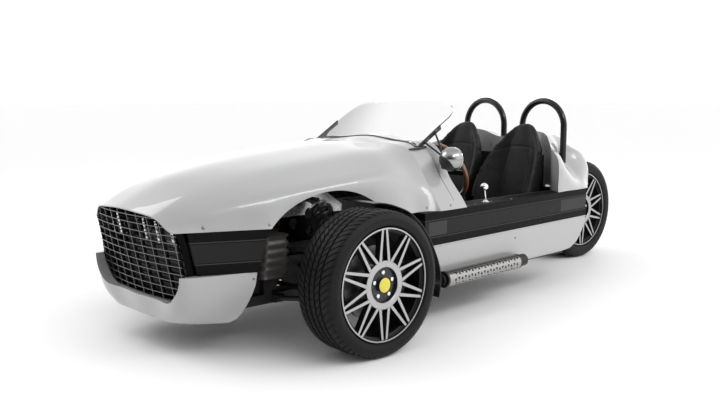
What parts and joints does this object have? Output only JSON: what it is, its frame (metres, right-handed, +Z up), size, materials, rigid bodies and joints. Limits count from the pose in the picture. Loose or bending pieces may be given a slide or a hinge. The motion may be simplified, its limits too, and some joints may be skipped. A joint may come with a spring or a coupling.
{
  "type": "three wheeled car",
  "caption": "Open two-seat three-wheeled car with a long bonnet, steered front wheels outside the body, a single rear wheel and roll hoops.",
  "frame": {"origin": "on the floor under the middle of the car's length and width", "axes": "+X towards the nose, +Y to the driver's left, +Z up"},
  "size_m": [3.6582, 1.74, 1.0846],
  "materials": {
    "body_paint": "glossy white",
    "band_paint": "satin black",
    "grille_metal": "dark satin metal",
    "black_plastic": "black",
    "lamp_glass": "clear lamp",
    "core_metal": "dark fins",
    "tub_liner": "black textured liner",
    "screen_glass": "clear",
    "mirror_chrome": "polished",
    "hoop_black": "gloss black",
    "seat_trim": "black upholstery",
    "wood_rim": "varnished",
    "spoke_metal": "dark spokes",
    "column_black": "black",
    "lever_chrome": "polished",
    "tyre_rubber": "black rubber",
    "wheel_alloy": "machined faces, dark sides",
    "disc_steel": "turned steel",
    "knuckle_iron": "cast",
    "frame_black": "black",
    "arm_black": "black",
    "spring_steel": "dark springs",
    "bracket_alloy": "polished",
    "engine_alloy": "cast",
    "shaft_steel": "steel with black boots",
    "guard_black": "gloss black",
    "shield_chrome": "polished, perforated",
    "pipe_steel": "dark steel",
    "swing_alloy": "dark cast",
    "tail_red": "red lens"
  },
  "bodies": {
    "chassis": {"bonnet": "body_paint", "cowl": "body_paint", "front_fascia": "body_paint", "rear_deck": "body_paint", "sills": "body_paint", "grille": "grille_metal", "grille_surround": "black_plastic", "headlamps": "lamp_glass", "radiator": "core_metal", "nose_bands": "band_paint", "side_bands": "band_paint", "cockpit_tub": "tub_liner", "dashboard": "tub_liner", "windscreen": "screen_glass", "windscreen_brackets": "black_plastic", "mirrors": "mirror_chrome", "roll_hoops": "hoop_black", "seats": "seat_trim", "steering_column": "column_black", "gear_lever": "lever_chrome", "chassis_frame": "frame_black", "front_arms": "arm_black", "coilovers": "spring_steel", "arch_brackets": "bracket_alloy", "engine": "engine_alloy", "drive_shafts": "shaft_steel", "mudguards": "guard_black", "exhaust_shield": "shield_chrome", "exhaust_pipe": "pipe_steel", "swingarm": "swing_alloy", "tail_lamp": "tail_red"},
    "knuckle_left": {"knuckle_left": "knuckle_iron"},
    "knuckle_right": {"knuckle_right": "knuckle_iron"},
    "front_wheel_left": {"front_tyre_left": "tyre_rubber", "front_rim_left": "wheel_alloy", "front_disc_left": "disc_steel"},
    "front_wheel_right": {"front_tyre_right": "tyre_rubber", "front_rim_right": "wheel_alloy", "front_disc_right": "disc_steel"},
    "rear_wheel": {"rear_tyre": "tyre_rubber", "rear_rim": "wheel_alloy", "rear_disc": "disc_steel"},
    "steering_wheel": {"steering_wheel_rim": "wood_rim", "steering_wheel_spokes": "spoke_metal"},
    "rack": {"steering_rack": "shaft_steel"}
  },
  "joints": [
    {"name": "steer_left", "type": "hinge", "parent": "chassis", "child": "knuckle_left", "pos_m": [1.064, 0.68, 0.3185], "axis": [0, 0, 1], "range_deg": [-28, 28]},
    {"name": "steer_right", "type": "hinge", "parent": "chassis", "child": "knuckle_right", "pos_m": [1.064, -0.68, 0.3185], "axis": [0, 0, 1], "range_deg": [-28, 28]},
    {"name": "spin_front_left", "type": "hinge", "parent": "knuckle_left", "child": "front_wheel_left", "pos_m": [1.064, 0.7575, 0.3185], "axis": [0, 1, 0], "continuous": true},
    {"name": "spin_front_right", "type": "hinge", "parent": "knuckle_right", "child": "front_wheel_right", "pos_m": [1.064, -0.7575, 0.3185], "axis": [0, 1, 0], "continuous": true},
    {"name": "spin_rear", "type": "hinge", "parent": "chassis", "child": "rear_wheel", "pos_m": [-1.501, 0, 0.328], "axis": [0, 1, 0], "continuous": true},
    {"name": "turn_steering_wheel", "type": "hinge", "parent": "chassis", "child": "steering_wheel", "pos_m": [-0.006, 0.205, 0.688], "axis": [-0.9135, 0, 0.4067], "range_deg": [-393, 393]},
    {"name": "slide_rack", "type": "slide", "parent": "chassis", "child": "rack", "axis": [0, 1, 0], "range_m": [-0.058, 0.058]}
  ],
  "couplings": [
    {"joint": "steer_right", "follows": "steer_left", "ratio": 1},
    {"joint": "turn_steering_wheel", "follows": "steer_left", "ratio": 14},
    {"joint": "slide_rack", "follows": "steer_left", "m_per_rad": 0.1172}
  ]
}
